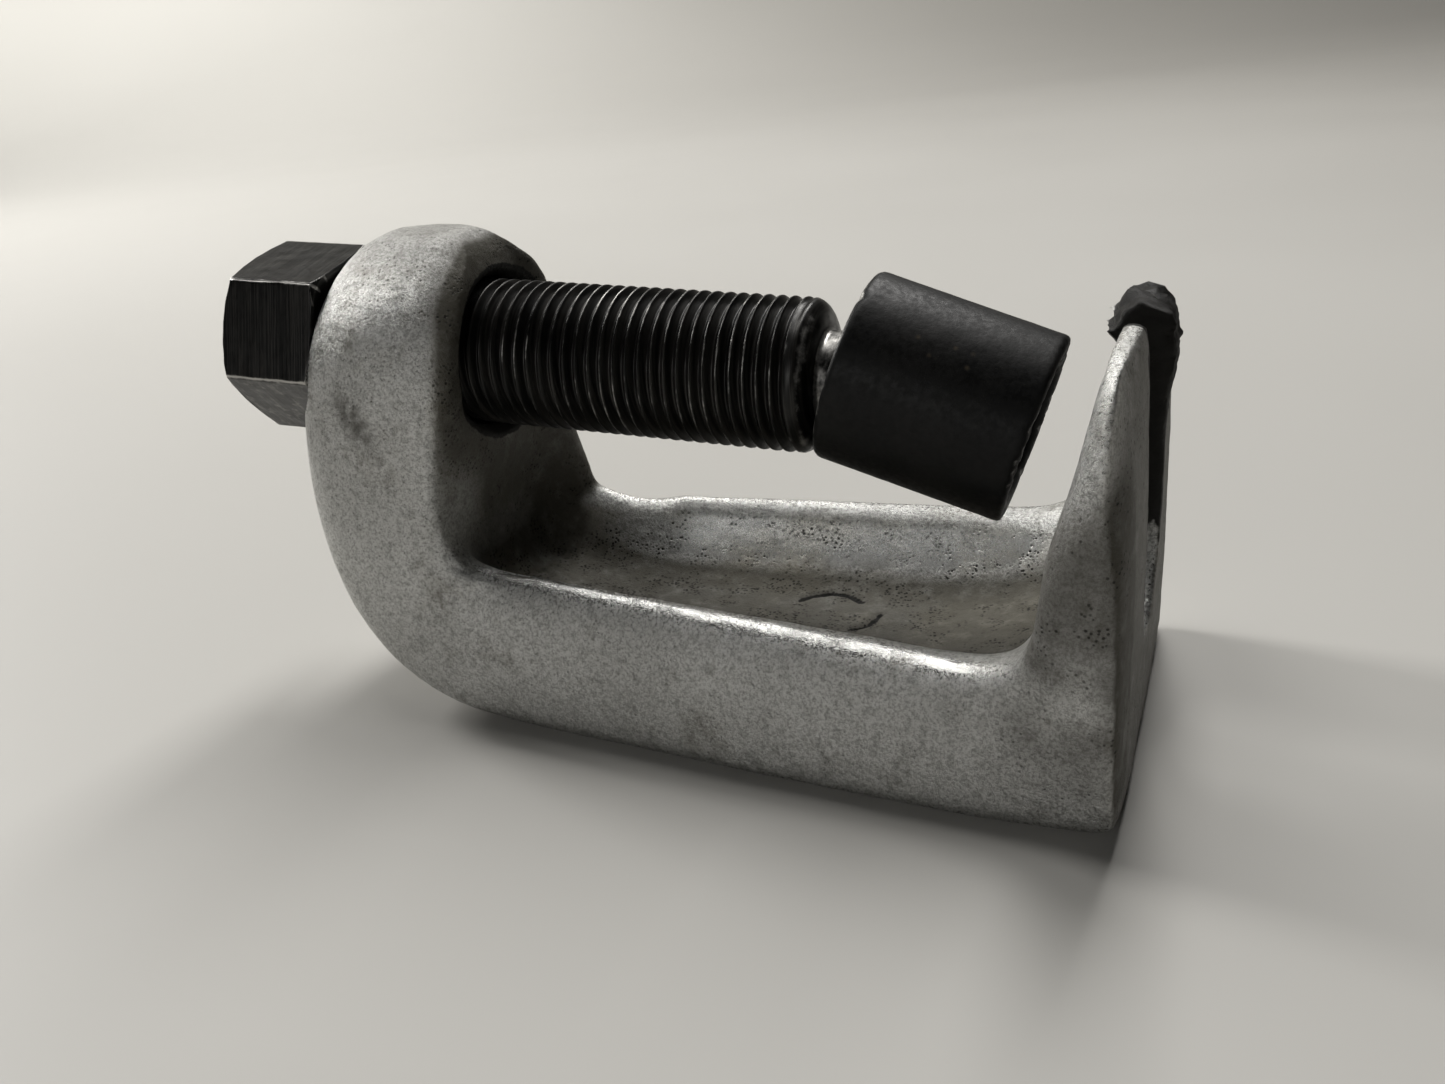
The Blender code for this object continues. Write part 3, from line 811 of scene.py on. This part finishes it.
def build_frame(material):
    """The forging: a shape close to the CAD part's, with its skin, marks, wear and grime, and its painted
    highlights and shade.
    """
    mesh, points = forging_shape()
    average = neighbours(mesh)
    # round every cut edge a little, then measure how sharp and how hollow the surface is
    for _ in range(edge_rounding):
        points = mix(points, average(points), 0.4)
    normals = normals_of(mesh, points)
    soft = points
    for _ in range(6):
        soft = average(soft)
    edge = ((points - soft) * normals).sum(1)
    broad = soft
    for _ in range(60):
        broad = average(broad)
    hollow = ((broad - points) * normals).sum(1)

    x, y, z = points.T
    ground = to_part(points)[:, 2] * 1000.0
    in_bore = (np.hypot(y, z) < bore_r + 1.5) & (x < 1.0)
    free = step(0.05, 0.8, ground) * np.where(in_bore, 0.0, 1.0) * np.where(x < -boss_length + 0.1, 0.25, 1.0)
    trough = in_trough(x, y, z)
    tip = step(tip_rise - 7.0, tip_rise, z) * on_fork(x) * np.where(y < 0.0, 0.55, 1.0)
    tall = step(tip_rise - 9.0, tip_rise, z) * on_fork(x) * (y < 0.0)

    points = shape_boss(points, normals, average)
    place = grease_rear_tine(points, normals)
    points = forging_skin(place, normals, trough, tip, tall, free)
    points, mark, scar, flaw = forging_marks(points, place, normals, ground)
    item = mesh_object("frame_forging", to_part(points), [tuple(p.vertices) for p in mesh.polygons], material)
    bpy.data.meshes.remove(mesh)
    paint_frame(item, points, place, normals, trough, tip, edge, hollow, mark, scar, flaw)
    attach(item, "frame")
    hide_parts("c_frame")


# forcing screw


def screw_head():
    """Hexagon with turned chamfers, as rows round the axis."""
    under = -boss_length - head_gap
    end = under - hex_length
    corner = hex_across_flats / math.sqrt(3.0)
    flat = hex_across_flats / 2.0
    drop = (corner - flat * 0.97) * math.tan(math.radians(hex_chamfer))
    # points of one flat, in degrees, close together at its corners
    flat_turns = np.concatenate([[0.0, 0.35, 0.7, 1.2, 2.0, 3.2], np.linspace(5.0, 55.0, 26),
                                 [56.8, 58.0, 58.8, 59.3, 59.65]])
    turns = np.concatenate([np.radians(60.0 * i) + np.radians(flat_turns) for i in range(6)])
    phase = np.degrees(turns) % 60.0
    hexagon = np.minimum(flat / np.cos(np.radians(phase - 30.0)), corner - hex_corner_round)
    turns = turns + math.radians(150.0 - hex_turn)
    sixth = math.radians(60.0)
    # painted light: the flats that face up and down are painted light grey for the reflections they catch,
    # and the flats to the front and back stay black
    facet = np.sin(np.floor((turns - turns[0]) / sixth + 1e-6) * sixth + turns[0] + 0.5 * sixth)
    painted_flat_light = np.where(facet > 0.35, 0.29, np.where(facet < -0.35, 0.42, 0.0))
    # distance along the axis and largest radius of each row, from the middle of the end face
    rows = [(end + 0.35, 0.0), (end + 0.35, 3.0), (end + 0.30, 5.6), (end + 0.05, 7.0), (end, 7.6),
            (end, flat * 0.93), (end + 0.04, flat * 0.955)]
    for t in np.linspace(0.0, 1.0, 15):
        rows.append((end + 0.07 + (drop - 0.07) * t, mix(flat * 0.965, corner, t)))
    for t in np.linspace(0.06, 0.94, 16):
        rows.append((mix(end + drop, under - 0.5 * drop, t), corner + 1.0))
    for t in np.linspace(0.0, 1.0, 8):
        rows.append((under - 0.5 * drop * (1.0 - t), mix(corner, corner - 0.5 * (corner - flat * 0.97), t)))
    rows += [(under, flat * 0.9), (under, 6.0)]
    points, wear = [], []
    for x, limit in rows:
        r = np.minimum(hexagon, limit)
        points.append(np.stack([np.full(len(turns), x), r * np.cos(turns), r * np.sin(turns)], -1))
        near_corner = np.exp(-np.minimum(phase, 60.0 - phase) / 1.6) * (limit > flat)
        near_arc = np.exp(-np.abs(hexagon - limit) / 0.16) * (limit > flat * 0.96)
        rim = math.exp(-abs(limit - flat * 0.96) / 0.25) if x < end + 0.5 else 0.0
        # painted light on the flats, kept off the end face
        flat_light = painted_flat_light * (x > end + 0.5)
        wear.append(np.maximum.reduce([near_corner * 0.95, near_arc * 0.8, np.full(len(turns), rim), flat_light]))
    points = np.concatenate(points)
    wear = np.concatenate(wear)
    dent = noise_at(points, 1.7, 6.0)
    middle = points * (0.0, 1.0, 1.0)
    outward = middle / np.maximum(np.linalg.norm(middle, axis=1), 1e-6)[:, None]
    points = points - outward * (np.clip(wear, 0.0, 1.0) * np.clip(0.09 + 0.16 * dent, 0.0, 0.3))[:, None]
    return points, grid_faces(len(rows), len(turns)), wear


def screw_shank():
    """Threaded shank, rounded end and neck: a turned profile whose radius follows the helix."""
    under = -boss_length - head_gap
    columns = 132
    turns = 2.0 * math.pi * np.arange(columns) / columns
    start = under - 1.0
    fine = np.arange(start, shank_reach - 2.2, thread_pitch / 14.0)
    tip = shank_reach + neck_length
    groove_in = pivot_x - ring_thickness / 2.0 - groove_play
    groove_out = pivot_x + ring_thickness / 2.0 + groove_play
    floor_r = neck_r - groove_depth
    profile = [(x, screw_r) for x in fine]
    rounding = ((1.9, 0.0), (1.6, 0.07), (1.2, 0.25), (0.85, 0.50), (0.5, 0.92), (0.22, 1.42), (0.06, 1.95),
                (0.0, 2.35))
    profile += [(shank_reach - before, screw_r - inward) for before, inward in rounding]
    profile += [(shank_reach, neck_r + 0.5), (shank_reach + 0.1, neck_r + 0.2), (shank_reach + 0.4, neck_r)]
    profile += [(mix(shank_reach + 0.6, groove_in - 0.1, t), neck_r) for t in np.linspace(0.0, 1.0, 12)]
    profile += [(groove_in, neck_r), (groove_in, floor_r), (groove_out, floor_r), (groove_out, neck_r),
                (tip - 0.8, neck_r), (tip - 0.5, neck_r - 0.12), (tip - 0.15, neck_r - 0.45),
                (tip, neck_r - 0.85), (tip, 2.0), (tip, 0.0)]
    along = np.array([p[0] for p in profile])[:, None]
    radius = np.array([p[1] for p in profile])[:, None]
    phase = (along / thread_pitch - turns[None, :] / (2.0 * math.pi) - thread_phase) % 1.0
    height = np.clip((np.abs(2.0 * phase - 1.0) - 0.10) / 0.80, 0.0, 1.0)
    height = height + 0.10 * (height * height * (3.0 - 2.0 * height) - height)
    fade = step(thread_end, thread_end - 1.1, along) * step(under + 0.8, under + 2.6, along)
    cut = thread_depth * (1.0 - height) * fade
    r = np.where(radius > screw_r - 0.01, radius - cut, radius)
    points = np.stack([along + 0.0 * r, r * np.cos(turns), r * np.sin(turns)], -1).reshape(-1, 3)
    ends = np.exp(-np.abs(along - (shank_reach - 0.9)) / 0.7) * (along < shank_reach + 0.05)
    neck = along > shank_reach + 0.05
    wear = step(0.86, 1.0, height) * fade * 0.45 + 0.55 * ends + 0.52 * neck
    return points, grid_faces(len(profile), columns), wear.reshape(-1)


def build_screw(material):
    """Head and shank, as two pieces that meet inside the head."""
    head, head_faces, head_wear = screw_head()
    shank, shank_faces, shank_wear = screw_shank()
    # patchy wear, less of it near the boss
    patch = 0.35 * noise_at(shank, 5.0, 8.0) * (shank_wear > 0.05)
    shank_wear = (shank_wear + patch) * mix(0.55, 1.0, step(1.0, 8.0, shank[:, 0]))
    for name, points, faces, wear in (("screw_head", head, head_faces, head_wear),
                                      ("screw_shank", shank, shank_faces, shank_wear)):
        item = mesh_object(name, to_part(points), faces, material)
        paint(item, "wear", wear)
        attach(item, "screw")
        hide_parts("forcing_screw")


# swivel cup


def build_cup(material):
    """Turned about its own axis from the pivot, then drooped."""
    back = -pivot_in_cup
    wall = back + cup_back_wall
    front = cup_length - pivot_in_cup
    lean = droop_sin / droop_cos
    mouth = neck_r / droop_cos - back * lean + mouth_gap
    throat = neck_r / droop_cos - wall * lean + mouth_gap - 0.1
    front_r = cup_r - 0.2
    profile = [(wall, throat), (mix(wall, back, 0.5), mix(throat, mouth, 0.5)), (back + 0.25, mouth - 0.02),
               (back, mouth + 0.3), (back, mix(mouth, cup_r, 0.5)), (back, cup_r - 0.75),
               (back + 0.04, cup_r - 0.5), (back + 0.18, cup_r - 0.2), (back + 0.45, cup_r - 0.04),
               (back + 0.8, cup_r)]
    shares = np.linspace(0.0, 1.0, 46)[1:]
    profile += [(mix(back + 0.8, front - 0.6, t), mix(cup_r, front_r, t)) for t in shares]
    profile += [(front - 0.3, front_r - 0.06), (front - 0.1, front_r - 0.2), (front, front_r - 0.5),
                (front, mix(front_r, cup_inner_r, 0.55)), (front, cup_inner_r + 0.75),
                (front - 0.2, cup_inner_r + 0.35), (front - 0.6, cup_inner_r)]
    profile += [(mix(front - 0.8, wall + 0.9, t), cup_inner_r) for t in np.linspace(0.0, 1.0, 24)]
    profile += [(wall + 0.35, cup_inner_r - 0.12), (wall + 0.08, cup_inner_r - 0.4),
                (wall, cup_inner_r - 0.9)]
    columns = 176
    turns = 2.0 * math.pi * np.arange(columns) / columns
    along = np.array([p[0] for p in profile])[:, None] + 0.0 * turns
    r = np.array([p[1] for p in profile])[:, None] + 0.0 * turns
    local = np.stack([along, r * np.cos(turns), r * np.sin(turns)], -1).reshape(-1, 3)
    flat_along, flat_r = along.reshape(-1), r.reshape(-1)
    rim_front = np.exp(-np.abs(flat_along - front) / 0.55) * (flat_r > cup_inner_r - 0.05)
    rim_back = np.exp(-np.abs(flat_along - back) / 0.5) * (flat_r > cup_r - 0.9)
    chew = noise_at(local * (0.35, 1.0, 1.0), 0.9, 14.0) + 0.5 * noise_at(local * (0.3, 1.0, 1.0), 4.0, 15.0)
    chew = np.clip(chew, 0.0, 1.0)
    local[:, 0] -= rim_front * chew * 0.30
    local[:, 1:] *= (1.0 - (rim_front * (flat_r > cup_inner_r + 0.3) * chew * 0.016))[:, None]
    skin = 0.02 * noise_at(local, 1.4, 18.0) * (flat_r > cup_inner_r + 0.3)
    local[:, 1:] *= (1.0 + np.minimum(skin - 0.012, 0.0) / np.maximum(flat_r, 1.0))[:, None]
    # nick on the back edge, on the side that faces up and to the front of the tool
    nick = np.exp(-((flat_along - back) / 0.5) ** 2)
    swing = (np.tile(turns, len(profile)) - math.radians(cup_nick_turn) + math.pi) % (2.0 * math.pi) - math.pi
    nick = nick * np.exp(-(swing * cup_r / 0.55) ** 2) * (flat_r > cup_r - 1.2)
    local[:, 1:] *= (1.0 - 0.05 * nick)[:, None]
    swivel = np.array(Matrix.Rotation(math.radians(cup_droop), 3, "Y"))
    points = local @ swivel.T + (pivot_x, 0.0, 0.0)
    rows = len(profile)
    faces = grid_faces(rows, columns)
    last = (rows - 1) * columns
    faces += [(last + i, i, (i + 1) % columns, last + (i + 1) % columns) for i in range(columns)]
    item = mesh_object("cup_body", to_part(points), faces, material)
    bm = bmesh.new()
    bm.from_mesh(item.data)
    bmesh.ops.recalc_face_normals(bm, faces=bm.faces)
    bm.to_mesh(item.data)
    bm.free()
    paint(item, "wear", 0.75 * rim_back + 0.9 * nick + rim_front * (0.35 + 0.5 * chew))
    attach(item, "cup")
    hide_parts("swivel_cup")


# stage


def build_stage():
    """Pale floor with painted shade that darkens it to the right, bending up behind the part."""
    material, n = new_material("pale_floor")
    split = n.tree.nodes.new("ShaderNodeSeparateXYZ")
    n.put(split.inputs[0], n.place)
    away = n.plus(split.outputs[0], n.times(split.outputs[1], 0.35))
    colour = n.blend(n.noise(3.0, 3.0), (0.50, 0.490, 0.462), (0.535, 0.526, 0.50))
    # painted shade: the floor darkens to the right and towards the back
    colour = n.blend(n.ramp(away, 0.0, 0.75), colour, (0.36, 0.349, 0.324))
    n.set("Base Color", colour)
    n.set("Roughness", n.ramp(n.noise(6.0, 3.0), 0.3, 0.7, 0.5, 0.6))
    n.set("Specular IOR Level", 0.3)
    profile = [(floor_front, 0.0), (bend_start, 0.0)]
    for i in range(1, 13):
        a = math.radians(7.5 * i)
        profile.append((bend_start + bend_radius * math.sin(a), bend_radius - bend_radius * math.cos(a)))
    profile.append((bend_start + bend_radius, backdrop_top))
    vertices, faces = [], []
    for y, z in profile:
        vertices += [(-floor_half_width, y, z), (floor_half_width, y, z)]
    for i in range(len(profile) - 1):
        faces.append((2 * i, 2 * i + 1, 2 * i + 3, 2 * i + 2))
    floor = mesh_object("floor", vertices, faces, material)
    floor.rotation_euler = (0.0, 0.0, math.radians(floor_turn))


def area_light(name, place, target, size, power, colour, spread=180.0):
    """Rectangular lamp aimed at a target, with its spread in degrees."""
    lamp = bpy.data.lights.new(name, "AREA")
    lamp.shape = "RECTANGLE"
    lamp.size, lamp.size_y = size
    lamp.energy = power
    lamp.spread = math.radians(spread)
    lamp.color = colour
    item = bpy.data.objects.new(name, lamp)
    item.location = place
    item.rotation_euler = (Vector(target) - Vector(place)).to_track_quat("-Z", "Y").to_euler()
    bpy.context.scene.collection.objects.link(item)


def build_light():
    """Soft lamps and a dark room that the camera sees as pale."""
    world = bpy.data.worlds.new("studio")
    world.use_nodes = True
    tree = world.node_tree
    shade = tree.nodes["Background"]
    shade.inputs[0].default_value = (0.95, 0.97, 1.0, 1.0)
    shade.inputs[1].default_value = 0.01
    pale = tree.nodes.new("ShaderNodeBackground")
    pale.inputs[0].default_value = (0.55, 0.54, 0.51, 1.0)
    both = tree.nodes.new("ShaderNodeMixShader")
    tree.links.new(tree.nodes.new("ShaderNodeLightPath").outputs["Is Camera Ray"], both.inputs[0])
    tree.links.new(shade.outputs[0], both.inputs[1])
    tree.links.new(pale.outputs[0], both.inputs[2])
    tree.links.new(both.outputs[0], tree.nodes["World Output"].inputs[0])
    bpy.context.scene.world = world
    aim = (0.0, 0.0, 0.02)
    warm = (1.0, 0.985, 0.96)
    area_light("ceiling", (0.02, 0.58, 0.95), aim, (0.26, 0.80), 8.5, warm)
    area_light("window", (-0.77, 0.22, 0.46), aim, (0.18, 0.40), 4.4, warm)
    area_light("sky", (-0.34, 0.14, 1.02), aim, (0.22, 0.40), 2.1, warm)
    area_light("front", (-0.24, -1.22, 0.36), aim, (0.90, 0.46), 2.4, (1.0, 0.99, 0.97))
    area_light("wash", (-1.0, 0.45, 1.2), (-1.1, 1.25, 0.1), (0.8, 0.8), 8.0, (1.0, 0.985, 0.95), 95.0)


def build_camera():
    """The camera of the photograph."""
    yaw, pitch, roll = (math.radians(a) for a in (camera_yaw, camera_pitch, camera_roll))
    forward = np.array((-math.sin(yaw) * math.cos(pitch), math.cos(yaw) * math.cos(pitch), -math.sin(pitch)))
    right = np.array((math.cos(yaw), math.sin(yaw), 0.0))
    up = np.cross(right, forward)
    side = math.cos(roll) * right + math.sin(roll) * up
    top = -math.sin(roll) * right + math.cos(roll) * up
    turn = np.stack([LAY @ side, LAY @ top, -(LAY @ forward)], 1)
    data = bpy.data.cameras.new("camera")
    data.sensor_fit = "HORIZONTAL"
    data.sensor_width = sensor_width
    data.lens = focal_pixels / photo_pixels * sensor_width
    data.clip_start = 0.005
    camera = bpy.data.objects.new("camera", data)
    matrix = Matrix([[*row, 0.0] for row in turn.tolist()] + [[0.0, 0.0, 0.0, 1.0]])
    matrix.translation = Vector(to_part(camera_place))
    camera.matrix_world = matrix
    bpy.context.scene.collection.objects.link(camera)
    bpy.context.scene.camera = camera


bpy.context.scene.view_settings.view_transform = "Standard"
build_camera()
build_light()
build_stage()
build_frame(forged_material())
build_screw(screw_material())
build_cup(cup_material())
ring = frame["nodes"]["retaining_ring"]
ring.data.materials.clear()
ring.data.materials.append(ring_material())
